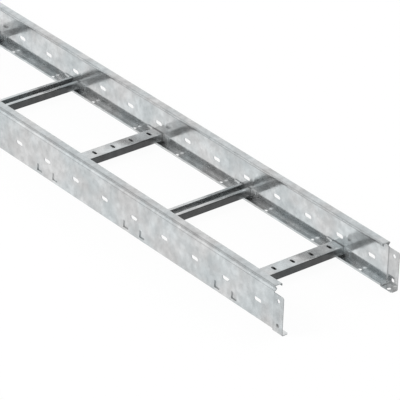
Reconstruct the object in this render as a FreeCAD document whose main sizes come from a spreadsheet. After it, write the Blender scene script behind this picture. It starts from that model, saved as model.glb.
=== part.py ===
import FreeCAD, Part
import os
import Sketcher

# Cable ladder section: two formed side rails, mirror images of each other, and ten C-channel rungs
# welded between their webs. Every second rung is turned over, so the open side and the slotted back
# come up in turn. Each rail ends in a tongue, set outward and down by the gauge of the sheet, which
# laps the plain end of the next section.
#
# +X runs along the rails toward the tongues, Y across, +Z up. The origin is the middle of the box
# round the part, at its underside. Millimetres.

doc = FreeCAD.newDocument("cable_ladder")
sizes = doc.addObject("Spreadsheet::Sheet", "Sizes")

DIMENSIONS = [
    ("section_length", 3000, "plain end to the end of the crown, tongue left out"),
    ("section_width", 300, "over the outer faces of the webs"),
    ("rail_height", 100, "underside of the foot to the top of the crown"),
    ("gauge", 1.5, "sheet of the rails and the rungs"),
    ("outer_bend", 2.5, "outside radius of every bend"),
    ("foot_width", 17, "bottom flange, from the outer face of the web"),
    ("foot_lip", 6, "lip turned up at the inner edge of the foot"),
    ("crown_width", 18.5, "top flange, from the outer face of the web"),
    ("crown_lip", 6, "lip turned down at the inner edge of the crown"),
    ("groove_low", 87, "lower crease of the cover groove, above the underside"),
    ("groove_slope", 4.3, "height of each sloping side of the groove"),
    ("groove_floor", 1, "height of the flat floor of the groove"),
    ("groove_depth", 3.5, "inward from the outer face of the web"),
    ("web_slot_length", 22, "end to end, along the rail"),
    ("web_slot_width", 9, "upright"),
    ("web_slot_pitch", 100, "also twice the distance of the last slot from each end"),
    ("web_slot_up", 43.5, "centre line above the underside"),
    ("foot_hole_width", 9, "round holes in the foot"),
    ("foot_hole_pitch", 150, "also twice the distance of the last hole from each end"),
    ("foot_hole_in", 8.5, "centre line from the outer face of the web"),
    ("joint_hole_width", 9, "round holes for the bolts of the joint"),
    ("joint_hole_low", 15.5, "lower joint hole above the underside"),
    ("joint_hole_spread", 56, "between the two joint holes of a web"),
    ("joint_hole_end", 15, "joint holes from the end of the section, both ways"),
    ("tongue_length", 30, "past the end of the section"),
    ("tongue_chamfer", 3, "free corners of the tongue"),
    ("lap_clearance", 0.3, "between the tongue and the rail that it laps"),
    ("joggle_run", 1.5, "length of the step that sets the tongue off"),
    ("crown_overrun", 1, "crown past the end of the section"),
    ("rung_width", 35, "along the rail"),
    ("rung_height", 18, "back to open side"),
    ("rung_lip", 9, "each edge of the open side, from the outer face"),
    ("rung_pitch", 300, "also twice the distance of the last rung from each end"),
    ("rung_up", 7, "underside of the rungs above the underside of the foot"),
    ("rung_slot_length", 15, "end to end, along the rail"),
    ("rung_slot_width", 7, "along the rung"),
    ("rung_slot_pitch", 49, "along the rung, evenly about its middle"),
    ("punch_sides", 8, "sides to the turn of a hole that repeats"),
    ("dimple_size", 17, "mouth of the square dimples beside each rung"),
    ("dimple_depth", 2.5, "inward from the outer face of the web"),
    ("dimple_wall", 0.9, "drawn wall of a dimple at its mouth"),
    ("dimple_draft", 8, "slope of the walls, in degrees"),
    ("dimple_clearance", 0.2, "between a dimple and the side of its rung"),
    ("punch_reach", 5, "how far a punch starts outside the sheet"),
]

# Worked out from the sizes above, so that each size is written once.
DERIVED = [
    ("inner_bend", "outer_bend - gauge"),
    ("foot_lip_face", "foot_width - gauge"),
    ("crown_lip_face", "crown_width - gauge"),
    ("crown_lip_end", "rail_height - crown_lip"),
    ("crown_ceiling", "rail_height - gauge"),
    ("groove_back", "groove_depth + gauge"),
    ("floor_low", "groove_low + groove_slope"),
    ("floor_high", "floor_low + groove_floor"),
    ("groove_high", "floor_high + groove_slope"),
    ("crease_shift", "gauge * tan(atan(groove_depth / groove_slope) / 2)"),
    ("back_low", "groove_low - crease_shift"),
    ("back_floor_low", "floor_low - crease_shift"),
    ("back_floor_high", "floor_high + crease_shift"),
    ("back_high", "groove_high + crease_shift"),
    ("tongue_drop", "gauge + lap_clearance"),
    ("rail_run", "section_length + crown_overrun"),
    ("joggle_start", "section_length - joggle_run"),
    ("rung_length", "section_width - 2 * gauge"),
    ("rung_far_face", "rung_width - gauge"),
    ("rung_far_lip", "rung_width - rung_lip"),
    ("rung_under_lip", "rung_height - gauge"),
    ("punch_run", "2 * punch_reach"),
    ("rung_count", "floor(section_length / rung_pitch)"),
    ("web_slot_count", "floor(section_length / web_slot_pitch)"),
    ("web_slot_middle", "floor(web_slot_count / 2) - 1"),
    ("web_slots_before", "web_slot_middle - 2"),
    ("web_slots_after", "web_slot_count - web_slot_middle - 4"),
    ("foot_hole_count", "floor(section_length / foot_hole_pitch)"),
    ("foot_hole_middle", "floor(foot_hole_count / 2) - 1"),
    ("foot_holes_before", "foot_hole_middle - 2"),
    ("foot_holes_after", "foot_hole_count - foot_hole_middle - 4"),
    ("rung_slot_count", "floor(rung_length / rung_slot_pitch)"),
    ("rung_slot_spread", "rung_slot_pitch * (rung_slot_count - 1)"),
    ("inner_slot_count", "rung_slot_count - 2"),
]

for row, (alias, number, note) in enumerate(DIMENSIONS, start=1):
    sizes.set(f"A{row}", alias)
    sizes.set(f"B{row}", str(number))
    sizes.set(f"C{row}", note)
    sizes.setAlias(f"B{row}", alias)
doc.recompute()
for row, (alias, formula) in enumerate(DERIVED, start=len(DIMENSIONS) + 1):
    sizes.set(f"A{row}", alias)
    sizes.set(f"B{row}", "=" + formula)
    sizes.setAlias(f"B{row}", alias)
    doc.recompute()


def size(alias):
    """A size read from the sheet, as a plain number."""
    return float(getattr(sizes, alias))


def bind(thing, **formulas):
    """Ties properties of an object to formulas in the names of the sheet."""
    for name, formula in formulas.items():
        thing.setExpression(name.replace("__", "."), formula)


def new_body(label):
    body = doc.addObject("PartDesign::Body", label)
    body.Label = label
    return body


def origin_feature(body, role):
    return [item for item in body.Origin.OriginFeatures if item.Role == role][0]


def new_on_plane(body, kind, name, plane, right="0", up="0", out="0"):
    """A sketch or a primitive flat on one of the body's own planes, moved from its middle by formulas."""
    thing = body.newObject(kind, name)
    thing.AttachmentSupport = [(origin_feature(body, plane), "")]
    thing.MapMode = "FlatFace"
    bind(thing, AttachmentOffset__Base__x=right, AttachmentOffset__Base__y=up,
         AttachmentOffset__Base__z=out)
    return thing


def new_sketch(body, name, plane, right="0", up="0", out="0"):
    return new_on_plane(body, "Sketcher::SketchObject", name, plane, right, up, out)


def place_point(sketch, curve, end, across, up):
    """Fixes one point of a sketch by two names of the sheet; an empty name is zero."""
    for name, kind, axis in ((across, "DistanceX", -2), (up, "DistanceY", -1)):
        if name:
            rule = sketch.addConstraint(Sketcher.Constraint(kind, -1, 1, curve, end, size(name)))
            sketch.setExpression(f"Constraints[{rule}]", f"Sizes.{name}")
        else:
            sketch.addConstraint(Sketcher.Constraint("PointOnObject", curve, end, axis))


def draw_outline(sketch, corners):
    """Draws a closed outline. Each corner is (across, up, bend) in names of the sheet.

    A corner with a bend stands between an upright and a level line and becomes an arc of that
    radius. A line between two bends is fixed by its level or its distance across alone.
    """
    points = [FreeCAD.Vector(size(a) if a else 0, size(u) if u else 0, 0) for a, u, _ in corners]
    bends = [size(bend) if bend else 0 for _, _, bend in corners]
    total = len(corners)
    lines = []
    for i in range(total):
        here, there = points[i], points[(i + 1) % total]
        along = (there - here).normalize()
        start = here + along * bends[i]
        stop = there - along * bends[(i + 1) % total]
        lines.append(sketch.addGeometry(Part.LineSegment(start, stop), False))
    for i, (across, up, bend) in enumerate(corners):
        before, after = lines[i - 1], lines[i]
        if not bend:
            sketch.addConstraint(Sketcher.Constraint("Coincident", before, 2, after, 1))
            place_point(sketch, after, 1, across, up)
            continue
        into = (points[i] - points[i - 1]).normalize()
        out = (points[(i + 1) % total] - points[i]).normalize()
        first, last = points[i] - into * bends[i], points[i] + out * bends[i]
        centre = first + out * bends[i]
        middle = centre + (points[i] - centre).normalize() * bends[i]
        arc = sketch.addGeometry(Part.Arc(first, middle, last), False)
        starts_first = sketch.getPoint(arc, 1).distanceToPoint(first) < 1e-6
        near, far = (1, 2) if starts_first else (2, 1)
        sketch.addConstraint(Sketcher.Constraint("Tangent", before, 2, arc, near))
        sketch.addConstraint(Sketcher.Constraint("Tangent", after, 1, arc, far))
        rule = sketch.addConstraint(Sketcher.Constraint("Radius", arc, bends[i]))
        sketch.setExpression(f"Constraints[{rule}]", f"Sizes.{bend}")
    for i, line in enumerate(lines):
        near, far = corners[i], corners[(i + 1) % total]
        if not (near[2] or far[2]):
            continue
        level = abs(points[i].y - points[(i + 1) % total].y) < 1e-9
        sketch.addConstraint(Sketcher.Constraint("Horizontal" if level else "Vertical", line))
        if near[2] and far[2]:
            name = near[1] if level else near[0]
            kind, axis = ("DistanceY", -1) if level else ("DistanceX", -2)
            if name:
                rule = sketch.addConstraint(Sketcher.Constraint(kind, -1, 1, line, 1, size(name)))
                sketch.setExpression(f"Constraints[{rule}]", f"Sizes.{name}")
            else:
                sketch.addConstraint(Sketcher.Constraint("PointOnObject", line, 1, axis))


def draw_slot(sketch, length, width):
    """Draws one slot about the sketch's origin, lying along its first axis."""
    half = size(width) / 2
    reach = size(length) / 2 - half
    up = FreeCAD.Vector(0, 0, 1)
    right_end, left_end = FreeCAD.Vector(reach, 0, 0), FreeCAD.Vector(-reach, 0, 0)
    quarter = 1.5707963267948966
    top = sketch.addGeometry(Part.LineSegment(
        FreeCAD.Vector(reach, half, 0), FreeCAD.Vector(-reach, half, 0)), False)
    left = sketch.addGeometry(Part.ArcOfCircle(
        Part.Circle(left_end, up, half), quarter, 3 * quarter), False)
    base = sketch.addGeometry(Part.LineSegment(
        FreeCAD.Vector(-reach, -half, 0), FreeCAD.Vector(reach, -half, 0)), False)
    right = sketch.addGeometry(Part.ArcOfCircle(
        Part.Circle(right_end, up, half), -quarter, quarter), False)
    for one, two in ((top, left), (left, base), (base, right), (right, top)):
        sketch.addConstraint(Sketcher.Constraint("Tangent", one, 2, two, 1))
    sketch.addConstraint(Sketcher.Constraint("Horizontal", top))
    sketch.addConstraint(Sketcher.Constraint("Symmetric", left, 3, right, 3, -1, 1))
    radius = sketch.addConstraint(Sketcher.Constraint("Radius", left, half))
    sketch.setExpression(f"Constraints[{radius}]", f"Sizes.{width} / 2")
    run = sketch.addConstraint(Sketcher.Constraint("DistanceX", left, 3, right, 3, 2 * reach))
    sketch.setExpression(f"Constraints[{run}]", f"Sizes.{length} - Sizes.{width}")


def draw_hole(sketch, width):
    """Draws one round hole about the sketch's origin."""
    circle = sketch.addGeometry(Part.Circle(
        FreeCAD.Vector(0, 0, 0), FreeCAD.Vector(0, 0, 1), size(width) / 2), False)
    sketch.addConstraint(Sketcher.Constraint("Coincident", circle, 3, -1, 1))
    rule = sketch.addConstraint(Sketcher.Constraint("Diameter", circle, size(width)))
    sketch.setExpression(f"Constraints[{rule}]", f"Sizes.{width}")


def draw_few_sided(sketch, width, length=""):
    """Draws a round hole or a slot about the sketch's origin, each turn as a few straight sides."""
    radius, sides = size(width) / 2, int(size("punch_sides"))
    reach = size(length) / 2 - radius if length else 0
    step = 360 / sides
    turns = [(1, -90 + step * k) for k in range(sides // 2)] + [(-1, 90 + step * k) for k in range(sides // 2)]
    if length:
        turns.insert(sides // 2, (1, 90))
        turns.append((-1, 270))
    points = [FreeCAD.Vector(end * reach, 0, 0)
              + FreeCAD.Rotation(FreeCAD.Vector(0, 0, 1), turn).multVec(FreeCAD.Vector(radius, 0, 0))
              for end, turn in turns]
    lines = [sketch.addGeometry(Part.LineSegment(point, points[(i + 1) % len(points)]), False)
             for i, point in enumerate(points)]
    for i, (end, turn) in enumerate(turns):
        sketch.addConstraint(Sketcher.Constraint("Coincident", lines[i - 1], 2, lines[i], 1))
        across = f"Sizes.{width} / 2 * cos({turn})"
        if length:
            across += f" + {end} * (Sizes.{length} - Sizes.{width}) / 2"
        for kind, place, formula in (("DistanceX", points[i].x, across),
                                     ("DistanceY", points[i].y, f"Sizes.{width} / 2 * sin({turn})")):
            rule = sketch.addConstraint(Sketcher.Constraint(kind, -1, 1, lines[i], 1, place))
            sketch.setExpression(f"Constraints[{rule}]", formula)


def draw_square(sketch, formula, side):
    """Draws one square about the sketch's origin."""
    half = side / 2
    ends = [FreeCAD.Vector(a * half, b * half, 0) for a, b in ((-1, -1), (1, -1), (1, 1), (-1, 1))]
    lines = [sketch.addGeometry(Part.LineSegment(ends[i], ends[(i + 1) % 4]), False) for i in range(4)]
    for i, line in enumerate(lines):
        sketch.addConstraint(Sketcher.Constraint("Coincident", line, 2, lines[(i + 1) % 4], 1))
        sketch.addConstraint(Sketcher.Constraint("Vertical" if i % 2 else "Horizontal", line))
    sketch.addConstraint(Sketcher.Constraint("Symmetric", lines[0], 1, lines[2], 1, -1, 1))
    sketch.addConstraint(Sketcher.Constraint("Equal", lines[0], lines[1]))
    rule = sketch.addConstraint(Sketcher.Constraint("Distance", lines[0], side))
    sketch.setExpression(f"Constraints[{rule}]", formula)


def new_pad(body, name, sketch, formula, backward=False, draft=""):
    pad = body.newObject("PartDesign::Pad", name)
    pad.Profile = sketch
    pad.Reversed = backward
    bind(pad, Length=formula)
    if draft:
        pad.TaperAngle = -size(draft)
        bind(pad, TaperAngle=f"-Sizes.{draft}")
    body.Tip = pad
    doc.recompute()
    return pad


def new_pocket(body, name, sketch, formula, draft=""):
    pocket = body.newObject("PartDesign::Pocket", name)
    pocket.Profile = sketch
    pocket.Refine = False
    bind(pocket, Length=formula)
    if draft:
        pocket.TaperAngle = -size(draft)
        bind(pocket, TaperAngle=f"-Sizes.{draft}")
    body.Tip = pocket
    doc.recompute()
    return pocket


def repeat(body, name, features, axis, pitch, count):
    """Repeats features of a body along one of its axes; pitch and count are formulas."""
    pattern = body.newObject("PartDesign::LinearPattern", name)
    pattern.Refine = False
    pattern.Originals = features
    pattern.Direction = (origin_feature(body, axis), [""])
    body.Tip = pattern
    bind(pattern, Length=f"{pitch} * ({count} - 1)", Occurrences=count)
    doc.recompute()
    return pattern


def punch_round(body, name, plane, right, up, width, length=""):
    """Pierces one round hole, or one slot with round ends that lies along the plane's first axis."""
    sketch = new_sketch(body, f"{name}_sketch", plane, right, up, "Sizes.punch_reach")
    if length:
        draw_slot(sketch, length, width)
    else:
        draw_hole(sketch, width)
    return [new_pocket(body, name, sketch, "Sizes.punch_run")]


def punch_few_sided(body, name, plane, right, up, width, length=""):
    """The same hole with few sides to the turn, for the long rows, so that their mesh stays light."""
    sketch = new_sketch(body, f"{name}_sketch", plane, right, up, "Sizes.punch_reach")
    draw_few_sided(sketch, width, length)
    return [new_pocket(body, name, sketch, "Sizes.punch_run")]


def punch_row(body, name, plane, rows, axis, pitch, start, width, length=""):
    """Rows of like holes along one axis.

    Each row is (first, count, punch): its first hole counted from zero, how many there are, and the
    function that pierces one. start is the place of hole zero as (right, up) on the plane.
    """
    right, up = start
    for number, (first, count, punch) in enumerate(rows, start=1):
        step = f"{pitch} * ({first})"
        here = (f"{right} + {step}", up) if axis == "X_Axis" else (right, f"{up} + {step}")
        cuts = punch(body, f"{name}_{number}", plane, here[0], here[1], width, length)
        repeat(body, f"{name}_row_{number}", cuts, axis, pitch, count)


def edges_at(shape, **fixed):
    """Names of the edges whose two ends lie at the given coordinates."""
    found = []
    for number, edge in enumerate(shape.Edges, start=1):
        ends = [vertex.Point for vertex in edge.Vertexes]
        if len(ends) == 2 and all(abs(getattr(end, key) - value) < 1e-4
                                  for end in ends for key, value in fixed.items()):
            found.append(f"Edge{number}")
    return found


# %% One side rail. Its own frame has the outer face of the web in the XZ plane, the sheet turned
# toward +Y, the underside of the foot at zero and the plain end at X zero.
RAIL_SECTION = [
    ("foot_width", "foot_lip", ""),
    ("foot_width", "", "outer_bend"),
    ("", "", "outer_bend"),
    ("", "groove_low", ""),
    ("groove_depth", "floor_low", ""),
    ("groove_depth", "floor_high", ""),
    ("", "groove_high", ""),
    ("", "rail_height", "outer_bend"),
    ("crown_width", "rail_height", "outer_bend"),
    ("crown_width", "crown_lip_end", ""),
    ("crown_lip_face", "crown_lip_end", ""),
    ("crown_lip_face", "crown_ceiling", "inner_bend"),
    ("gauge", "crown_ceiling", "inner_bend"),
    ("gauge", "back_high", ""),
    ("groove_back", "back_floor_high", ""),
    ("groove_back", "back_floor_low", ""),
    ("gauge", "back_low", ""),
    ("gauge", "gauge", "inner_bend"),
    ("foot_lip_face", "gauge", "inner_bend"),
    ("foot_lip_face", "foot_lip", ""),
]

# The tongue is what is left of that section below the groove, without the lip.
TONGUE_SECTION = [
    ("foot_width", "", ""),
    ("", "", "outer_bend"),
    ("", "groove_low", ""),
    ("gauge", "groove_low", ""),
    ("gauge", "gauge", "inner_bend"),
    ("foot_width", "gauge", ""),
]

near_rail = new_body("side_rail_near")
rail_section = new_sketch(near_rail, "rail_section", "YZ_Plane")
draw_outline(rail_section, RAIL_SECTION)
new_pad(near_rail, "rail_strip", rail_section, "Sizes.rail_run")

# Below the groove the strip stops short, where the step of the tongue begins.
clearing = new_sketch(near_rail, "tongue_clearing", "XZ_Plane",
                      "Sizes.joggle_start + Sizes.groove_low / 2", "Sizes.groove_low / 2", "Sizes.punch_reach")
draw_square(clearing, "Sizes.groove_low", size("groove_low"))
new_pocket(near_rail, "tongue_clearing_cut", clearing, "Sizes.foot_width + 2 * Sizes.punch_reach")

step_start = new_sketch(near_rail, "step_start", "YZ_Plane", out="Sizes.joggle_start")
draw_outline(step_start, TONGUE_SECTION)
step_end = new_sketch(near_rail, "step_end", "YZ_Plane",
                      "-Sizes.tongue_drop", "-Sizes.tongue_drop", "Sizes.section_length")
draw_outline(step_end, TONGUE_SECTION)
step = near_rail.newObject("PartDesign::AdditiveLoft", "tongue_step")
step.Profile = step_start
step.Sections = [step_end]
step.Ruled = True
near_rail.Tip = step
doc.recompute()

tongue_section = new_sketch(near_rail, "tongue_section", "YZ_Plane",
                            "-Sizes.tongue_drop", "-Sizes.tongue_drop", "Sizes.section_length")
draw_outline(tongue_section, TONGUE_SECTION)
tongue = new_pad(near_rail, "tongue", tongue_section, "Sizes.tongue_length")

tongue_end = size("section_length") + size("tongue_length")
corners = near_rail.newObject("PartDesign::Chamfer", "tongue_corners")
corners.Base = (tongue,
                edges_at(tongue.Shape, x=tongue_end, z=size("groove_low") - size("tongue_drop"))
                + edges_at(tongue.Shape, x=tongue_end, y=size("foot_width") - size("tongue_drop")))
bind(corners, Size="Sizes.tongue_chamfer")
near_rail.Tip = corners
doc.recompute()

# Every hole is pierced before the dimples are drawn, so that each cut stays quick.
# Joint holes: two in the web and one in the foot, in the tongue and in the plain end that it laps.
PLAIN_END = "Sizes.joint_hole_end"
TONGUE_END = "Sizes.section_length + Sizes.joint_hole_end"
for end, along in (("plain", PLAIN_END), ("tongue", TONGUE_END)):
    punch_round(near_rail, f"joint_{end}_low", "XZ_Plane", along, "Sizes.joint_hole_low",
                "joint_hole_width")
    punch_round(near_rail, f"joint_{end}_high", "XZ_Plane", along,
                "Sizes.joint_hole_low + Sizes.joint_hole_spread", "joint_hole_width")
    punch_round(near_rail, f"joint_{end}_foot", "XY_Plane", along, "Sizes.foot_hole_in",
                "joint_hole_width")

# The first, middle and last two of each long row have round ends, and the rest have few sides.
punch_row(near_rail, "foot_hole", "XY_Plane", [
    ("0", "2", punch_round),
    ("2", "Sizes.foot_holes_before", punch_few_sided),
    ("Sizes.foot_hole_middle", "2", punch_round),
    ("Sizes.foot_hole_middle + 2", "Sizes.foot_holes_after", punch_few_sided),
    ("Sizes.foot_hole_count - 2", "2", punch_round),
], "X_Axis", "Sizes.foot_hole_pitch", ("Sizes.foot_hole_pitch / 2", "Sizes.foot_hole_in"),
    "foot_hole_width")

punch_row(near_rail, "web_slot", "XZ_Plane", [
    ("0", "2", punch_round),
    ("2", "Sizes.web_slots_before", punch_few_sided),
    ("Sizes.web_slot_middle", "2", punch_round),
    ("Sizes.web_slot_middle + 2", "Sizes.web_slots_after", punch_few_sided),
    ("Sizes.web_slot_count - 2", "2", punch_round),
], "X_Axis", "Sizes.web_slot_pitch", ("Sizes.web_slot_pitch / 2", "Sizes.web_slot_up"),
    "web_slot_width", "web_slot_length")

# Square dimples, drawn inward on both sides of each rung end, centred on its height.
DIMPLE_REACH = "(Sizes.rung_width / 2 + Sizes.dimple_clearance + Sizes.dimple_wall + Sizes.dimple_size / 2)"
DIMPLE_UP = "Sizes.rung_up + Sizes.rung_height / 2"
boss_side = size("dimple_size") + 2 * size("dimple_wall")
dimples = []
for side, sign in (("left", "-"), ("right", "+")):
    along = f"Sizes.rung_pitch / 2 {sign} {DIMPLE_REACH}"
    boss_sketch = new_sketch(near_rail, f"boss_{side}_sketch", "XZ_Plane", along, DIMPLE_UP)
    draw_square(boss_sketch, "Sizes.dimple_size + 2 * Sizes.dimple_wall", boss_side)
    dimples.append(new_pad(near_rail, f"boss_{side}", boss_sketch,
                           "Sizes.gauge + Sizes.dimple_depth", backward=True, draft="dimple_draft"))
    mouth_sketch = new_sketch(near_rail, f"dimple_{side}_sketch", "XZ_Plane", along, DIMPLE_UP)
    draw_square(mouth_sketch, "Sizes.dimple_size", size("dimple_size"))
    dimples.append(new_pocket(near_rail, f"dimple_{side}", mouth_sketch, "Sizes.dimple_depth",
                              draft="dimple_draft"))
repeat(near_rail, "dimples", dimples, "X_Axis", "Sizes.rung_pitch", "Sizes.rung_count")

bind(near_rail,
     Placement__Base__x="-(Sizes.section_length + Sizes.tongue_length) / 2",
     Placement__Base__y="-Sizes.section_width / 2",
     Placement__Base__z="Sizes.tongue_drop")

# %% The other rail is the mirror image across the middle plane.
far_rail = doc.addObject("Part::Mirroring", "side_rail_far")
far_rail.Label = "side_rail_far"
far_rail.Source = near_rail
far_rail.Normal = FreeCAD.Vector(0, 1, 0)
doc.recompute()

# %% The rungs. In a rung's own frame the back is down, the open side is up, and it runs along +Y
# from the web of the near rail.
RUNG_SECTION = [
    ("rung_far_lip", "rung_height", ""),
    ("rung_width", "rung_height", "outer_bend"),
    ("rung_width", "", "outer_bend"),
    ("", "", "outer_bend"),
    ("", "rung_height", "outer_bend"),
    ("rung_lip", "rung_height", ""),
    ("rung_lip", "rung_under_lip", ""),
    ("gauge", "rung_under_lip", ""),
    ("gauge", "gauge", ""),
    ("rung_far_face", "gauge", ""),
    ("rung_far_face", "rung_under_lip", ""),
    ("rung_far_lip", "rung_under_lip", ""),
]


def make_rung(number):
    """One rung, counted from the plain end. Odd ones lie open side up, with a plain back; even ones
    are turned over, with slots in the back that comes up."""
    back_up = number % 2 == 0
    rung = new_body(f"rung_{number:02d}")
    section = new_sketch(rung, f"rung_{number:02d}_section", "XZ_Plane")
    draw_outline(section, RUNG_SECTION)
    new_pad(rung, f"rung_{number:02d}_strip", section, "Sizes.rung_length", backward=True)
    if back_up:
        punch_row(rung, f"rung_{number:02d}_slot", "XY_Plane", [
            ("0", "1", punch_round),
            ("1", "Sizes.inner_slot_count", punch_few_sided),
            ("Sizes.rung_slot_count - 1", "1", punch_round),
        ], "Y_Axis", "Sizes.rung_slot_pitch",
            ("Sizes.rung_width / 2", "(Sizes.rung_length - Sizes.rung_slot_spread) / 2"),
            "rung_slot_width", "rung_slot_length")
    turn = 180 if back_up else 0
    rung.Placement = FreeCAD.Placement(
        FreeCAD.Vector(0, 0, 0), FreeCAD.Rotation(FreeCAD.Vector(0, 1, 0), turn))
    centre = f"Sizes.rung_pitch * ({number} - 0.5) - (Sizes.section_length + Sizes.tongue_length) / 2"
    low = "Sizes.tongue_drop + Sizes.rung_up"
    bind(rung,
         Placement__Base__x=centre + (" + " if back_up else " - ") + "Sizes.rung_width / 2",
         Placement__Base__y="-Sizes.rung_length / 2",
         Placement__Base__z=low + (" + Sizes.rung_height" if back_up else ""))
    return rung


rungs = [make_rung(number) for number in range(1, int(size("rung_count")) + 1)]
doc.recompute()

# %% Checks, then one file for each piece.
for item in doc.Objects:
    if "Invalid" in item.State or "Error" in item.State:
        raise ValueError(f"{item.Name} did not build: {item.State}")

os.makedirs("parts", exist_ok=True)
for piece in [near_rail, far_rail] + rungs:
    shape = piece.Shape
    if shape.isNull() or not shape.isValid() or len(shape.Solids) != 1:
        raise ValueError(f"{piece.Label} is not one sound solid")
    shape.exportStep(f"parts/{piece.Label}.step")
    box = shape.BoundBox
    print(f"{piece.Label}: {box.XLength:.1f} x {box.YLength:.1f} x {box.ZLength:.1f} mm, "
          f"{shape.Volume / 1000:.1f} cm3")
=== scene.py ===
# %% [markdown]
# This lesson dresses one straight section of cable ladder: two formed side rails and ten rungs of
# galvanised sheet steel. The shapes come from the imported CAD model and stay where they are. Blender
# adds the zinc, the floor, the light and the camera.

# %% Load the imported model
import math

import bpy
from mathutils import Matrix, Vector


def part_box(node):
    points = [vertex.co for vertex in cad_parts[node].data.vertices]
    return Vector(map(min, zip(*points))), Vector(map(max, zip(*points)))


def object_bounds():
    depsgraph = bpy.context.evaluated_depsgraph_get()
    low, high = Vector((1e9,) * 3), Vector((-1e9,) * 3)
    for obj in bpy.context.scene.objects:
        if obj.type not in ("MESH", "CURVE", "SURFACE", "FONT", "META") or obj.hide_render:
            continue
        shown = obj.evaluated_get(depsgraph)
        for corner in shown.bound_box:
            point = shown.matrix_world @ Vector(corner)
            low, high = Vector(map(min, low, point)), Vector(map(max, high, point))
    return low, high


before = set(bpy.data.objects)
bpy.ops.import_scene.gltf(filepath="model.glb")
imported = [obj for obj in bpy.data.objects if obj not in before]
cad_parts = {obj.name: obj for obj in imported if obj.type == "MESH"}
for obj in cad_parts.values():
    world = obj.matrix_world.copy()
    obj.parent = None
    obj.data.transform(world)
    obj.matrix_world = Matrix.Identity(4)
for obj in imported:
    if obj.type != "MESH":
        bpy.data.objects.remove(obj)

CAD_BOX = [list(corner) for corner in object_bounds()]
RAILS = ["side_rail_near", "side_rail_far"]
RUNGS = sorted(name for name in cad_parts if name.startswith("rung_"))
print("rails:", RAILS, "rungs:", len(RUNGS))
print("CAD box in metres:", CAD_BOX)

# %% [markdown]
# The camera stands where the photographer's stood. It was found by fitting the slots of both rails:
# a long lens, nearly seven metres off, looking down at 29 degrees along the ladder from its tongue
# end. A camera in Blender looks along its own -Z axis, so its three axes are worked out one by one
# from the two viewing angles and a small roll, and put into one matrix.

# %% Camera
AROUND, ABOVE, ROLL = (math.radians(angle) for angle in (50.44, 29.13, 2.02))
AIM = Vector((1.435, 0.0, 0.0453))                # the point that the fit measured from
SIDE_STEP, UP_STEP, DISTANCE = -0.23095, 0.15426, 6.86824
FOCAL_PIXELS, IMAGE_PIXELS, SENSOR_MM = 3436.28, 400, 36.0
NEAREST, FARTHEST = 0.05, 200.0

back = Vector((math.sin(AROUND) * math.cos(ABOVE), -math.cos(AROUND) * math.cos(ABOVE), math.sin(ABOVE)))
level = Vector((math.cos(AROUND), math.sin(AROUND), 0.0))
upright = back.cross(level)
right = math.cos(ROLL) * level + math.sin(ROLL) * upright
up = math.cos(ROLL) * upright - math.sin(ROLL) * level

lens = bpy.data.cameras.new("ladder_camera")
lens.sensor_width = SENSOR_MM
lens.lens = FOCAL_PIXELS / IMAGE_PIXELS * SENSOR_MM
lens.clip_start, lens.clip_end = NEAREST, FARTHEST
camera = bpy.data.objects.new("ladder_camera", lens)
bpy.context.scene.collection.objects.link(camera)
stand = AIM + right * SIDE_STEP + up * UP_STEP + back * DISTANCE
camera.matrix_world = Matrix.Translation(stand) @ Matrix((right, up, back)).transposed().to_4x4()
bpy.context.scene.camera = camera
print(f"camera at {tuple(round(v, 3) for v in stand)}, lens {lens.lens:.1f} mm")

# %% [markdown]
# Nodes are the wiring of a material. A few small helpers keep the wiring readable: one adds a node
# and fills in its sockets, the others add a sum, a mix of two colours and a soft step.


# %% Helpers for nodes
def fill_socket(tree, socket, value):
    """Links a socket to another socket, or writes a plain value into it."""
    if isinstance(value, bpy.types.NodeSocket):
        tree.links.new(value, socket)
    else:
        socket.default_value = value


def add_node(tree, kind, inputs=None, **settings):
    """A node with some of its settings and sockets filled in."""
    node = tree.nodes.new(kind)
    for name, value in settings.items():
        setattr(node, name, value)
    for name, value in (inputs or {}).items():
        fill_socket(tree, node.inputs[name], value)
    return node


def add_math(tree, operation, first, second=0.0):
    """One sum; either side may be a number or a socket."""
    return add_node(tree, "ShaderNodeMath", {0: first, 1: second}, operation=operation).outputs[0]


def add_mix(tree, amount, first, second, blend="MIX"):
    """Two colours mixed. The colour sockets of a Mix node are numbers 6 and 7, and its output is 2."""
    return add_node(tree, "ShaderNodeMix", {0: amount, 6: first, 7: second},
                    data_type="RGBA", blend_type=blend).outputs[2]


def add_span(tree, value, low, high, to_low=0.0, to_high=1.0):
    """A value moved from one range to another along a soft step, held at the ends."""
    return add_node(tree, "ShaderNodeMapRange", {
        "Value": value, "From Min": low, "From Max": high, "To Min": to_low, "To Max": to_high,
    }, interpolation_type="SMOOTHSTEP").outputs["Result"]


def product(tree, *factors):
    """All the values multiplied together."""
    total = factors[0]
    for factor in factors[1:]:
        total = add_math(tree, "MULTIPLY", total, factor)
    return total


print("helpers for nodes ready")

# %% [markdown]
# An effect that both zinc finishes use is built once, as a node group with named sockets. Its
# textures read the object's own coordinates, in metres, so what they draw stays on the metal from
# every side and has its real size.


# %% Helpers for node groups
def open_group(name, numbers, outputs):
    """An empty node group with named number inputs and named number outputs."""
    tree = bpy.data.node_groups.new(name, "ShaderNodeTree")
    for title, default in numbers.items():
        socket = tree.interface.new_socket(title, in_out="INPUT", socket_type="NodeSocketFloat")
        socket.default_value = default
    for title in outputs:
        tree.interface.new_socket(title, in_out="OUTPUT", socket_type="NodeSocketFloat")
    return tree, tree.nodes.new("NodeGroupInput").outputs, tree.nodes.new("NodeGroupOutput").inputs


def object_place(tree):
    """The place on the object, as one vector in metres."""
    return add_node(tree, "ShaderNodeTexCoord").outputs["Object"]


def scale_for(tree, size, share=1.0):
    """The scale at which a texture's features are as large as size, over share."""
    return add_math(tree, "DIVIDE", share, size)


print("helpers for groups ready")

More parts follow.
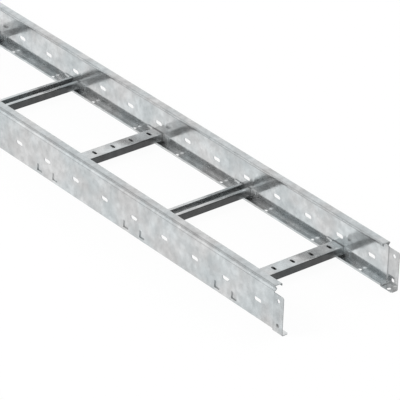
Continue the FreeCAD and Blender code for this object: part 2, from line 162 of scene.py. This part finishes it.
# %% [markdown]
# Galvanised sheet is never one grey. The zinc freezes in soft clouds a few centimetres across, some
# a little bluer and some a little warmer, with faint streaks where it ran off the sheet. A picture of
# zinc would repeat and blur, so noise textures at two sizes make the clouds.

# %% Zinc clouds
CLOUDS_FADE, MOTTLE_FADE, WARMTH_FADE = (0.3, 0.7), (0.25, 0.75), (0.35, 0.65)
WARMTH_SHARE, WARMTH_SLICE = 0.6, 3.7             # larger than the clouds, and another slice of noise


def build_clouds():
    tree, given, out = open_group(
        "zinc_clouds", {"Cloud Size": 0.045, "Mottle Size": 0.014, "Streak Length": 1.2},
        ("Clouds", "Mottle", "Warmth"))
    where = object_place(tree)
    stretched = add_node(tree, "ShaderNodeCombineXYZ", {
        "X": 1.0, "Y": 1.0, "Z": scale_for(tree, given["Streak Length"])}).outputs[0]
    run = add_node(tree, "ShaderNodeVectorMath", {0: where, 1: stretched},
                   operation="MULTIPLY").outputs[0]
    clouds = add_node(tree, "ShaderNodeTexNoise", {
        "Vector": where, "Scale": scale_for(tree, given["Cloud Size"]),
        "Detail": 4.0, "Roughness": 0.55, "Distortion": 0.4}).outputs["Fac"]
    mottle = add_node(tree, "ShaderNodeTexNoise", {
        "Vector": run, "Scale": scale_for(tree, given["Mottle Size"]),
        "Detail": 3.0, "Roughness": 0.6}).outputs["Fac"]
    warmth = add_node(tree, "ShaderNodeTexNoise", {
        "Vector": where, "Scale": scale_for(tree, given["Cloud Size"], WARMTH_SHARE),
        "Detail": 2.0}, noise_dimensions="4D")
    warmth.inputs["W"].default_value = WARMTH_SLICE
    tree.links.new(add_span(tree, clouds, *CLOUDS_FADE), out["Clouds"])
    tree.links.new(add_span(tree, mottle, *MOTTLE_FADE), out["Mottle"])
    tree.links.new(add_span(tree, warmth.outputs["Fac"], *WARMTH_FADE), out["Warmth"])
    return tree


zinc_clouds = build_clouds()
print("group", zinc_clouds.name, "with", len(zinc_clouds.nodes), "nodes")

# %% [markdown]
# Close up, zinc shows spangle: flat crystals, each tilted a little its own way, so each one catches
# the light differently. A Voronoi texture gives every crystal its own shade and its own tilt. The
# group puts out the shade and a height whose slope differs from crystal to crystal. A second Voronoi
# texture makes sparse pale flecks, where a bead of zinc stuck to the sheet: only some of its cells
# get one, and each has its own radius.

# %% Spangle
WANDER_SCALE, WANDER = 60.0, 0.012                # how finely and how far the crystals' outlines wander
CRYSTAL_SMOOTHNESS = 0.8
GRAIN_HEIGHT, FLECK_HEIGHT = 0.12, 0.5            # beside crystals of height 1
FLECK_CHANCE, FLECK_RADIUS = (0.45, 1.0), 0.13    # the cells that get a fleck, and the largest one
NOT_ZERO = 0.001


def add_flecks(tree, where, spacing):
    """1 on the flecks, 0 between them."""
    cells = add_node(tree, "ShaderNodeTexVoronoi", {
        "Vector": where, "Scale": scale_for(tree, spacing)}).outputs
    chance = add_node(tree, "ShaderNodeSeparateColor", {"Color": cells["Color"]}).outputs["Red"]
    radius = add_span(tree, chance, *FLECK_CHANCE, 0.0, FLECK_RADIUS)
    away = add_math(tree, "DIVIDE", cells["Distance"], add_math(tree, "ADD", radius, NOT_ZERO))
    return add_span(tree, away, 1.0, 0.5)


def build_spangle():
    tree, given, out = open_group(
        "zinc_spangle", {"Crystal Size": 0.012, "Grain Size": 0.0012, "Fleck Spacing": 0.024},
        ("Shade", "Height", "Flecks"))
    where = object_place(tree)
    wander = add_node(tree, "ShaderNodeTexNoise", {"Vector": where, "Scale": WANDER_SCALE, "Detail": 2.0})
    bent = add_node(tree, "ShaderNodeVectorMath", {
        0: wander.outputs["Color"], 1: (WANDER, WANDER, WANDER)}, operation="MULTIPLY").outputs[0]
    moved = add_node(tree, "ShaderNodeVectorMath", {0: where, 1: bent}, operation="ADD").outputs[0]
    crystals = add_node(tree, "ShaderNodeTexVoronoi", {
        "Vector": moved, "Scale": scale_for(tree, given["Crystal Size"])}, feature="SMOOTH_F1")
    crystals.inputs["Smoothness"].default_value = CRYSTAL_SMOOTHNESS
    shade = add_node(tree, "ShaderNodeSeparateColor", {"Color": crystals.outputs["Color"]})
    grain = add_node(tree, "ShaderNodeTexNoise", {
        "Vector": where, "Scale": scale_for(tree, given["Grain Size"]), "Detail": 2.0})
    flecks = add_flecks(tree, moved, given["Fleck Spacing"])
    fine = add_math(tree, "MULTIPLY", grain.outputs["Fac"], GRAIN_HEIGHT)
    height = add_math(tree, "ADD", shade.outputs["Green"], fine)
    raised = add_math(tree, "MULTIPLY", flecks, FLECK_HEIGHT)
    tree.links.new(shade.outputs["Red"], out["Shade"])
    tree.links.new(flecks, out["Flecks"])
    tree.links.new(add_math(tree, "ADD", height, raised), out["Height"])
    return tree


zinc_spangle = build_spangle()
print("group", zinc_spangle.name, "with", len(zinc_spangle.nodes), "nodes")

# %% [markdown]
# The sheared and punched edges of the sheet, and the outsides of its bends, are rubbed brighter than
# the flats. The Bevel node returns the normal as it would be on a rounded edge. Where it differs from
# the true normal there is an edge, and that difference is the wear mask. Noise breaks it up, because
# no edge is rubbed evenly.

# %% Worn edges
EDGE_FADE = (0.995, 0.86)                         # how alike the two normals are off and on an edge
PATCH_FADE, PATCH_SHARE = (0.3, 0.65), (0.35, 1.0)


def build_wear():
    tree, given, out = open_group("edge_wear", {"Reach": 0.0005, "Break Up Size": 0.006}, ("Wear",))
    rounded = add_node(tree, "ShaderNodeBevel", {"Radius": given["Reach"]}, samples=4).outputs["Normal"]
    true_normal = add_node(tree, "ShaderNodeNewGeometry").outputs["Normal"]
    same = add_node(tree, "ShaderNodeVectorMath", {0: rounded, 1: true_normal},
                    operation="DOT_PRODUCT").outputs["Value"]
    patches = add_node(tree, "ShaderNodeTexNoise", {
        "Vector": object_place(tree), "Scale": scale_for(tree, given["Break Up Size"]), "Detail": 3.0})
    uneven = add_span(tree, patches.outputs["Fac"], *PATCH_FADE, *PATCH_SHARE)
    tree.links.new(product(tree, add_span(tree, same, *EDGE_FADE), uneven), out["Wear"])
    return tree


edge_wear = build_wear()
print("group", edge_wear.name, "with", len(edge_wear.nodes), "nodes")

# %% [markdown]
# Some places on the ladder are darker or brighter than the rest in the picture, because of what
# stands around it there. This shade and light is painted into the colour of the zinc. Painting them
# would need an image. Masks from the place and the facing of the surface mark them instead, and they
# follow the shapes exactly. The sizes that they need are measured on the CAD pieces.

# %% Helpers for masks
TROUGH_TOP = CAD_BOX[0][2] + 0.005                # above the bottom flange, below the rungs
TONGUE_START = CAD_BOX[1][0] - 0.0318             # where the step of the tongue begins
RAIL_TOP = CAD_BOX[1][2]
RUNG_LOW, RUNG_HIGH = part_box(RUNGS[0])
RUNG_MIDDLE, RUNG_HALF = (RUNG_LOW[0] + RUNG_HIGH[0]) / 2, (RUNG_HIGH[0] - RUNG_LOW[0]) / 2
RUNG_END = RUNG_HIGH[1]                           # where the rungs meet the webs
RUNG_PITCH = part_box(RUNGS[1])[0][0] - RUNG_LOW[0]
UP_FACING = (0.8, 0.95)


def read_facing(tree):
    """The three parts of the surface normal."""
    normal = add_node(tree, "ShaderNodeNewGeometry").outputs["Normal"]
    return add_node(tree, "ShaderNodeSeparateXYZ", {"Vector": normal}).outputs


def read_place(tree):
    """The three parts of the place on the object, in metres."""
    return add_node(tree, "ShaderNodeSeparateXYZ", {"Vector": object_place(tree)}).outputs


def without_sign(tree, value):
    """A value without its sign."""
    return add_math(tree, "ABSOLUTE", value)


def face_up(tree):
    """1 where a face looks up, 0 elsewhere."""
    return add_span(tree, read_facing(tree)["Z"], *UP_FACING)


def face_along(tree, low, high):
    """How far a face looks along the ladder, from 0 below low to 1 above high."""
    return add_span(tree, without_sign(tree, read_facing(tree)["X"]), low, high)


def from_rung(tree, spacing):
    """How far along the ladder the nearest of the rungs is that lie at this spacing from the first."""
    along = add_math(tree, "SUBTRACT", read_place(tree)["X"], RUNG_MIDDLE)
    nearest = add_math(tree, "WRAP", along, spacing / 2)
    nearest.node.inputs[2].default_value = -spacing / 2
    return without_sign(tree, nearest)


print(f"rungs every {1000 * RUNG_PITCH:.0f} mm, the tongues start at {1000 * TONGUE_START:.0f} mm")

# %% [markdown]
# A rung's sides are the darkest part of the picture: nothing bright stands along the ladder for them
# to mirror, so that shade is painted into their colour. The painted shade turns lighter toward the
# webs, which they mirror there, and most so at the foot of the side. The sides inside a channel get
# less painted shade where its open side is up and light falls in. Each rung has a thin dark line
# where it meets the web. The backs of the turned rungs get painted light beside that line at the far
# web, where they catch light.

# %% Masks of the rungs
SIDE_FACING = (0.35, 0.8)
SKIN = 0.0014                                     # the outer sides lie within it of the rung's edge
OPEN_INSIDE, TURNED_INSIDE = 0.28, 0.85
SIDE_FADE, SIDE_SHARE = (0.110, 0.142), 0.885     # across the ladder, from the middle to the web
FOOT_OF_SIDE, WEB_SHARE = (0.011, 0.018), (0.1, 0.4)
JOINT_LINE, JOINT_SHARE = (0.0030, 0.0012), 0.72
LIT_FADE, LIT_STOP, LIT_SHARE = (0.08, 0.115), (0.0045, 0.0030), 0.2


def shade_rungs(tree):
    """How much painted shade darkens each place on a rung; below 0 it is painted light instead."""
    place = read_place(tree)
    across = without_sign(tree, place["Y"])
    # Painted shade on the rung's sides: inside a channel by which way it opens, outside less toward the
    # web.
    outer = add_math(tree, "GREATER_THAN", from_rung(tree, RUNG_PITCH), RUNG_HALF - SKIN)
    back_up = add_math(tree, "GREATER_THAN", from_rung(tree, 2 * RUNG_PITCH), RUNG_PITCH / 2)
    inside = add_span(tree, back_up, 0.0, 1.0, OPEN_INSIDE, TURNED_INSIDE)
    at_web = add_span(tree, place["Z"], *FOOT_OF_SIDE, *WEB_SHARE)
    outside = add_span(tree, across, *SIDE_FADE, SIDE_SHARE, at_web)
    chosen = add_node(tree, "ShaderNodeMix", {
        "Factor": outer, "A": inside, "B": outside}).outputs["Result"]
    sides = product(tree, face_along(tree, *SIDE_FACING), chosen)
    joint = product(tree, face_up(tree), JOINT_SHARE,
                    add_span(tree, across, RUNG_END - JOINT_LINE[0], RUNG_END - JOINT_LINE[1]))
    # Painted light on the backs of the turned rungs, beside the dark line at the far web.
    lit = product(tree, face_up(tree), back_up, add_span(tree, place["Y"], *LIT_FADE),
                  add_span(tree, across, RUNG_END - LIT_STOP[0], RUNG_END - LIT_STOP[1], LIT_SHARE, 0.0))
    return add_math(tree, "SUBTRACT", add_math(tree, "MAXIMUM", sides, joint), lit)


print(f"rung ends at {1000 * RUNG_END:.1f} mm, a rung is {2000 * RUNG_HALF:.1f} mm wide")

# %% [markdown]
# A rail has a groove under its crown. The upper half of the groove gets painted shade, the slope under
# it a painted highlight, and its lower crease a thin line of painted shade. The lower edge and the end
# of the crown's lip are in shade, painted into the colour. The walls that look along the ladder get
# painted shade in the upper slots and at the tongues. The feet, the tongues and the outer faces are
# painted a shade darker and the inner faces of the webs a little lighter, and the last of each foot
# before the tongue lies in the open and gets painted light. Every one of these is a band or a patch,
# so each gets one mask and one share.

# %% Bands of the rails
BESIDE_WEB = RUNG_END - 0.003                     # from here outward there is only web and groove
UPRIGHT_FACING = (0.3, 0.5)
CREASE_DEPTH, CREASE_FADE = 0.0131, (0.0003, 0.0011)


def read_depth(tree):
    """How far a place lies below the top of the rail."""
    return add_math(tree, "SUBTRACT", RAIL_TOP, read_place(tree)["Z"])


def outward_side(tree):
    """1 on the faces that look out from the ladder, 0 on those that look in."""
    side = add_math(tree, "MULTIPLY", read_place(tree)["Y"], read_facing(tree)["Y"])
    return add_math(tree, "GREATER_THAN", side, 0.0)


def web_faces(tree):
    """1 on the upright faces of the web and the groove, 0 elsewhere."""
    beside = add_math(tree, "GREATER_THAN", without_sign(tree, read_place(tree)["Y"]), BESIDE_WEB)
    sideways = without_sign(tree, read_facing(tree)["Y"])
    return product(tree, beside, add_span(tree, sideways, *UPRIGHT_FACING))


def groove_bands(tree):
    """Painted shade in the upper groove, a painted highlight on its slope, painted shade in its crease.
    """
    depth, web = read_depth(tree), web_faces(tree)
    dim = product(tree, web, add_span(tree, depth, 0.0, 0.0022, 0.4, 1.0),
                   add_span(tree, depth, 0.0072, 0.0092, 1.0, 0.0))
    painted_highlight = product(tree, web, add_span(tree, depth, 0.0084, 0.0100),
                       add_span(tree, depth, 0.0118, 0.0128, 1.0, 0.0))
    from_crease = without_sign(tree, add_math(tree, "SUBTRACT", depth, CREASE_DEPTH))
    crease = product(tree, web, add_span(tree, from_crease, *CREASE_FADE, 1.0, 0.0))
    return dim, painted_highlight, crease


print(f"webs lie beyond {1000 * BESIDE_WEB:.1f} mm, the crease {1000 * CREASE_DEPTH:.1f} mm down")

# %% Places on the rails
LIP_DEPTH, LIP_REACH, LIP_FACING = 0.0075, 0.1345, (0.8, 0.5)
LIP_END, LIP_EDGE = (-0.0015, 0.0005), (0.0036, 0.0050)      # from the tongue, and below the top
OPEN_FOOT = (-0.08, -0.04)                                   # from the tongue
WALL_FACING, TONGUE_WALLS = (0.45, 0.9), 0.5
SLOT_WALLS, WALL_SHARE = (0.028, 0.036), (0.02, 0.34)        # from the foot's holes to the web's slots
OUTER_SHADE_HEIGHT, OUTER_SHADE_SHARE = (0.03, 0.06), (0.55, 1.0)


def past_tongue(tree):
    """1 on the tongues, 0 elsewhere."""
    return add_math(tree, "GREATER_THAN", read_place(tree)["X"], TONGUE_START)


def near_tongue(tree, span):
    """A soft step along the ladder, placed from where the tongue starts."""
    return add_span(tree, read_place(tree)["X"], TONGUE_START + span[0], TONGUE_START + span[1])


def in_trough(tree):
    """1 on the upper faces of the bottom flanges, 0 elsewhere."""
    return product(tree, face_up(tree), add_math(tree, "LESS_THAN", read_place(tree)["Z"], TROUGH_TOP))


def crown_lip(tree):
    """1 on the lip that hangs from the inner edge of the crown, 0 elsewhere."""
    place = read_place(tree)
    return product(tree, add_math(tree, "GREATER_THAN", place["Z"], RAIL_TOP - LIP_DEPTH),
                   add_math(tree, "LESS_THAN", without_sign(tree, place["Y"]), LIP_REACH),
                   add_span(tree, read_facing(tree)["Z"], *LIP_FACING))


def end_walls(tree):
    """The walls that look along the ladder, with the painted shade that each of them gets."""
    walls = add_math(tree, "MAXIMUM", add_span(tree, read_place(tree)["Z"], *SLOT_WALLS, *WALL_SHARE),
                     add_math(tree, "MULTIPLY", past_tongue(tree), TONGUE_WALLS))
    return product(tree, face_along(tree, *WALL_FACING), walls)


print(f"the feet's troughs lie below {1000 * TROUGH_TOP:.1f} mm")


# %% Masks of the rails
def shade_rails(tree):
    """How much painted shade darkens each place on a rail; below 0 it is painted light instead."""
    dim, painted_highlight, crease = groove_bands(tree)
    web, outward, lip, foot = web_faces(tree), outward_side(tree), crown_lip(tree), in_trough(tree)
    # Painted shade on the upper outer faces of the webs.
    outer_shade = product(tree, outward, web, add_span(
        tree, read_place(tree)["Z"], *OUTER_SHADE_HEIGHT, *OUTER_SHADE_SHARE))
    # Painted shade at the end of the crown's lip and along its lower edge.
    lip_end = product(tree, lip, near_tongue(tree, LIP_END))
    lip_edge = product(tree, lip, add_span(tree, read_depth(tree), *LIP_EDGE))
    # Painted light on the inner faces of the webs and on the last of each foot before the tongue.
    inner = product(tree, add_math(tree, "SUBTRACT", 1.0, outward), web)
    open_foot = product(tree, foot, near_tongue(tree, OPEN_FOOT))
    darker = 0.0
    # Painted shade in the troughs, on the end walls, in the groove, on tongues, outer faces and lip.
    for mask, share in ((foot, 0.055), (end_walls(tree), 1.0), (dim, 0.32), (crease, 0.2),
                        (past_tongue(tree), 0.13), (outer_shade, 0.03), (lip_end, 0.6), (lip_edge, 0.38)):
        darker = add_math(tree, "MAXIMUM", darker, add_math(tree, "MULTIPLY", mask, share))
    # Painted light: the highlight on the groove's slope, the inner faces and the open ends of the feet.
    for mask, share in ((painted_highlight, 0.31), (inner, 0.03), (open_foot, 0.34)):
        darker = add_math(tree, "SUBTRACT", darker, add_math(tree, "MULTIPLY", mask, share))
    return darker


print("masks of the rails ready")

# %% [markdown]
# In patches, the troughs of the bottom flanges are made matt and painted a little darker, as painted
# shade. And a sheet is never quite flat beside a bend: the web leans in a little just above the foot,
# so that it mirrors more of the dark trough. The lean is far too small for the CAD model. A bump gives
# it to the light alone: its height rises with a steady slope over a few millimetres of the web, and
# it fades out beside the rungs, which hold the web straight.

# %% Shaded troughs and the lean of the web
LEAN_LOW, LEAN_HIGH, LEAN_SLOPE = 0.0185, 0.0265, 0.085
LEAN_FACING, LEAN_FADE = (0.5, 0.8), (0.0185, 0.027)


def find_shaded_troughs(tree):
    """1 in the troughs of the bottom flanges, 0 elsewhere and on the tongues."""
    before_tongue = add_math(tree, "LESS_THAN", read_place(tree)["X"], TONGUE_START)
    return product(tree, in_trough(tree), before_tongue)


def lean_web(tree):
    """The height, in metres, that makes the inner face of the web lean above its foot."""
    inward = add_math(tree, "SUBTRACT", 1.0, outward_side(tree))
    above = add_math(tree, "MAXIMUM", add_math(tree, "SUBTRACT", read_place(tree)["Z"], LEAN_LOW), 0.0)
    risen = add_math(tree, "MINIMUM", above, LEAN_HIGH - LEAN_LOW)
    return product(tree, risen, LEAN_SLOPE, inward,
                   add_span(tree, without_sign(tree, read_facing(tree)["Y"]), *LEAN_FACING),
                   add_span(tree, from_rung(tree, RUNG_PITCH), *LEAN_FADE))


print(f"the web leans from {1000 * LEAN_LOW:.1f} to {1000 * LEAN_HIGH:.1f} mm up")

# %% [markdown]
# Both finishes are the same zinc bath, so one recipe makes both: the clouds shade a cool and a warm
# grey, the spangle shifts each crystal, the masks paint shade and light into the colour, and the wear
# brightens the edges. Metallic is 0.8, not 1, because zinc that has stood in air for a while grows a
# thin chalky skin: it still mirrors the rungs, but the mirrored dark is lifted to a middle grey. The
# roughness moves with the clouds.

# %% Colour of the zinc
COOL_DULL, COOL_BRIGHT, WARM_DULL, WARM_BRIGHT = 0.066, 0.052, 0.0, 0.006
BLUE_PER_COOL = 0.35
CRYSTAL_TONES, SPECK_TONES = (0.95, 1.04), (0.9, 1.065)
WEAR_SHARE, FLECK_SHARE = 0.3, 0.4
RUBBED_GAIN, RUBBED_MOST = 1.15, 0.9


def grey(value, cool=0.0):
    """A grey that turns toward blue green as cool rises from zero."""
    return (value * (1.0 - cool), value, value * (1.0 + BLUE_PER_COOL * cool), 1.0)


def grey_from(tree, value):
    """A socket's value as a grey colour."""
    return add_node(tree, "ShaderNodeCombineColor", {
        "Red": value, "Green": value, "Blue": value}).outputs[0]


def colour_zinc(tree, clouds, spangle, wear, tones, bright, dim):
    """The colour of the zinc: two greys by the clouds, dimmed by the tones, and brighter where rubbed.
    The tones hold the painted shade and light. Only the first of them, the share that the painted
    shade leaves, dims the rubbed zinc too."""
    cool = add_mix(tree, clouds["Clouds"], grey(dim, COOL_DULL), grey(bright, COOL_BRIGHT))
    warm = add_mix(tree, clouds["Clouds"], grey(dim, WARM_DULL), grey(bright, WARM_BRIGHT))
    body = add_mix(tree, clouds["Warmth"], cool, warm)
    dimmed = product(tree, add_span(tree, spangle["Shade"], 0.0, 1.0, *CRYSTAL_TONES),
                     add_span(tree, clouds["Mottle"], 0.0, 1.0, *SPECK_TONES), *tones)
    toned = add_mix(tree, 1.0, body, grey_from(tree, dimmed), "MULTIPLY")
    rubbed = add_math(tree, "MAXIMUM", add_math(tree, "MULTIPLY", wear["Wear"], WEAR_SHARE),
                      add_math(tree, "MULTIPLY", spangle["Flecks"], FLECK_SHARE))
    rubbed_zinc = grey(min(bright * RUBBED_GAIN, RUBBED_MOST))
    return add_mix(tree, product(tree, rubbed, tones[0]), toned, rubbed_zinc)


print(f"cool zinc has {COOL_BRIGHT:.1%} to {COOL_DULL:.1%} less red than green")

# %% Zinc finishes
METALLIC = 0.8
TROUGH_PATCHES, TROUGH_PATCH_SHARE, TROUGH_SHADE_TONE, TROUGH_ROUGHNESS = (0.2, 0.8), (1.0, 0.75), 0.97, 0.16
ROUGHER_CLOUDS, SMOOTHER_CLOUDS, CRYSTAL_ROUGHNESS = 0.04, 0.02, 0.04
SPANGLE_HEIGHT = 0.0001


def make_zinc(name, bright, dim, roughness, bump, shade, shaded_troughs=None, lean=None):
    """A zinc material; its functions add painted shade and light, shaded matt troughs and a leaning web.
    """
    material = bpy.data.materials.new(name)
    material.use_nodes = True
    tree = material.node_tree
    shader = tree.nodes["Principled BSDF"]
    shader.inputs["Metallic"].default_value = METALLIC
    clouds, spangle, wear = (add_node(tree, "ShaderNodeGroup", node_tree=group).outputs
                             for group in (zinc_clouds, zinc_spangle, edge_wear))
    # The share of the colour that the painted shade leaves; painted light lifts it above 1.
    tones = [add_math(tree, "SUBTRACT", 1.0, shade(tree))]
    fine = add_math(tree, "MULTIPLY_ADD", spangle["Shade"], CRYSTAL_ROUGHNESS)
    fine.node.inputs[2].default_value = -CRYSTAL_ROUGHNESS / 2
    # Patches in the troughs are made matt and painted a little darker, as painted shade.
    if shaded_troughs:
        patches = add_span(tree, clouds["Mottle"], *TROUGH_PATCHES, *TROUGH_PATCH_SHARE)
        trough_patches = product(tree, shaded_troughs(tree), patches)
        tones.append(add_span(tree, trough_patches, 0.0, 1.0, 1.0, TROUGH_SHADE_TONE))
        fine = add_math(tree, "ADD", fine, add_math(tree, "MULTIPLY", trough_patches, TROUGH_ROUGHNESS))
    colour = colour_zinc(tree, clouds, spangle, wear, tones, bright, dim)
    tree.links.new(colour, shader.inputs["Base Color"])
    satin = add_span(tree, clouds["Clouds"], 0.0, 1.0,
                     roughness + ROUGHER_CLOUDS, roughness - SMOOTHER_CLOUDS)
    tree.links.new(add_math(tree, "ADD", satin, fine), shader.inputs["Roughness"])

    raised = add_node(tree, "ShaderNodeBump", {
        "Strength": bump, "Distance": SPANGLE_HEIGHT, "Height": spangle["Height"]})
    if lean:
        leaning = add_node(tree, "ShaderNodeBump", {
            "Strength": 1.0, "Distance": 1.0, "Height": lean(tree)})
        tree.links.new(leaning.outputs["Normal"], raised.inputs["Normal"])
    tree.links.new(raised.outputs["Normal"], shader.inputs["Normal"])
    return material


rail_zinc = make_zinc("rail_zinc", bright=0.665, dim=0.555, roughness=0.14, bump=0.06,
                      shade=shade_rails, shaded_troughs=find_shaded_troughs, lean=lean_web)
rung_zinc = make_zinc("rung_zinc", bright=0.71, dim=0.64, roughness=0.18, bump=0.04,
                      shade=shade_rungs)
print("finishes:", rail_zinc.name, rung_zinc.name)

# %% [markdown]
# The CAD model comes in as flat facets, so every bend of the sheet is a fan of narrow strips. A small
# geometry node tree joins the facets and shades across them where they meet at under 25 degrees. The
# bends then look round and the creases, cut edges and hole rims stay sharp. It is a modifier, so the
# CAD mesh itself isn't changed.

# %% Round shading for the bends
JOIN_WITHIN = 0.00001
SHARP_TURN = math.radians(25)


def build_soft_bends():
    tree = bpy.data.node_groups.new("soft_bends", "GeometryNodeTree")
    tree.interface.new_socket("Geometry", in_out="INPUT", socket_type="NodeSocketGeometry")
    tree.interface.new_socket("Geometry", in_out="OUTPUT", socket_type="NodeSocketGeometry")
    given, out = tree.nodes.new("NodeGroupInput"), tree.nodes.new("NodeGroupOutput")
    bare = add_node(tree, "GeometryNodeRemoveAttribute", {
        "Geometry": given.outputs[0], "Name": "custom_normal"})
    joined = add_node(tree, "GeometryNodeMergeByDistance", {
        "Geometry": bare.outputs[0], "Distance": JOIN_WITHIN})
    smooth = add_node(tree, "GeometryNodeSetShadeSmooth", {
        "Geometry": joined.outputs[0], "Shade Smooth": True}, domain="FACE")
    turn = add_node(tree, "GeometryNodeInputMeshEdgeAngle").outputs["Unsigned Angle"]
    sharp = add_node(tree, "FunctionNodeCompare", {"A": turn, "B": SHARP_TURN},
                     data_type="FLOAT", operation="GREATER_THAN").outputs["Result"]
    creased = add_node(tree, "GeometryNodeSetShadeSmooth", {
        "Geometry": smooth.outputs[0], "Selection": sharp, "Shade Smooth": False}, domain="EDGE")
    tree.links.new(creased.outputs[0], out.inputs[0])
    return tree


soft_bends = build_soft_bends()
print("geometry nodes:", len(soft_bends.nodes))

# %% Give each CAD piece its zinc
for node in RAILS + RUNGS:
    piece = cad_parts[node]
    for slot in piece.material_slots:
        slot.material = rail_zinc if node in RAILS else rung_zinc
    rounding = piece.modifiers.new("soft_bends", "NODES")
    rounding.node_group = soft_bends
    print(node, len(piece.data.polygons), "faces")

# %% [markdown]
# The picture has a plain white ground. The floor is a white board: the camera and the metal both see
# it as white, through the Light Path node, and a share of ordinary white paint keeps the shadow that
# the ladder casts.

# %% Floor
WHITE_SHARE, PAINT = 0.95, 0.9
FLOOR_HALF, FLOOR_LEVEL = 40.0, CAD_BOX[0][2] - 0.0002


def make_board():
    """A material that is seen as plain white and still takes a shadow."""
    material = bpy.data.materials.new("white_board")
    material.use_nodes = True
    tree = material.node_tree
    tree.nodes.clear()
    rays = add_node(tree, "ShaderNodeLightPath").outputs
    seen = add_math(tree, "MAXIMUM", rays["Is Camera Ray"], rays["Is Glossy Ray"])
    seen = add_math(tree, "MAXIMUM", seen, rays["Is Transmission Ray"])
    paint = add_node(tree, "ShaderNodeBsdfDiffuse", {"Color": grey(PAINT)})
    white = add_node(tree, "ShaderNodeEmission", {"Color": grey(1.0), "Strength": 1.0})
    both = add_node(tree, "ShaderNodeMixShader", {
        "Fac": add_math(tree, "MULTIPLY", seen, WHITE_SHARE), 1: paint.outputs[0], 2: white.outputs[0]})
    add_node(tree, "ShaderNodeOutputMaterial", {"Surface": both.outputs[0]})
    return material


corners = [(x * FLOOR_HALF, y * FLOOR_HALF, FLOOR_LEVEL) for x, y in ((-1, -1), (1, -1), (1, 1), (-1, 1))]
mesh = bpy.data.meshes.new("floor")
mesh.from_pydata(corners, [], [(0, 1, 2, 3)])
mesh.materials.append(make_board())
floor = bpy.data.objects.new("floor", mesh)
bpy.context.scene.collection.objects.link(floor)
print(f"floor {2 * FLOOR_HALF:.0f} m wide at {1000 * FLOOR_LEVEL:.1f} mm")

# %% [markdown]
# The sky is a plain studio: pale at the horizon and on the far side of the ladder, and greyer
# overhead and on the near side, which gives the metal something to shade into. It is worked out from
# the direction alone, so it needs no picture.

# %% Sky
HORIZON, OVERHEAD, NEAR_SIDE = 0.95, 0.7, 0.65
BY_HEIGHT, ABOVE_HORIZON, BY_SIDE = (0.3, 0.9), (0.35, 0.55), (0.3, -0.5)

world = bpy.data.worlds.new("studio")
world.use_nodes = True
sky = world.node_tree
sky.nodes.clear()
way = add_node(sky, "ShaderNodeTexCoord").outputs["Generated"]
parts = add_node(sky, "ShaderNodeSeparateXYZ", {"Vector": way}).outputs
beside = product(sky, add_span(sky, parts["Z"], *ABOVE_HORIZON), add_span(sky, parts["Y"], *BY_SIDE))
glow = product(sky, add_span(sky, parts["Z"], *BY_HEIGHT, HORIZON, OVERHEAD),
               add_span(sky, beside, 0.0, 1.0, 1.0, NEAR_SIDE))
studio = add_node(sky, "ShaderNodeBackground", {"Color": grey_from(sky, glow), "Strength": 1.0})
add_node(sky, "ShaderNodeOutputWorld", {"Surface": studio.outputs[0]})
bpy.context.scene.world = world
bpy.context.scene.view_settings.view_transform = "Standard"
print("sky", world.name, "with", len(sky.nodes), "nodes")

# %% [markdown]
# Two large soft lamps, one to the left of the ladder and a weaker one behind it, bring the plain
# white paint up to the level at which a colour renders as it is written, and cast the soft shadow.
# Bare metal shows lamps as hard white patches, which the picture doesn't have, so they are hidden
# from its reflections and the pale sky and floor light the zinc.

# %% Lamps
LAMP_SIZE, LAMP_AIM = 3.0, Vector((0.4, 0.0, 0.0))
LAMPS = {"key_lamp": (Vector((-1.0, -4.5, 4.2)), 230.0), "back_lamp": (Vector((1.0, 4.5, 4.5)), 90.0)}

for name, (place, watts) in LAMPS.items():
    light = bpy.data.lights.new(name, "AREA")
    light.shape, light.size, light.energy = "SQUARE", LAMP_SIZE, watts
    lamp = bpy.data.objects.new(name, light)
    lamp.location = place
    lamp.rotation_euler = (LAMP_AIM - place).to_track_quat("-Z", "Y").to_euler()
    lamp.visible_glossy = False
    bpy.context.scene.collection.objects.link(lamp)
    print(name, f"{watts:.0f} W, {(LAMP_AIM - place).length:.1f} m off")
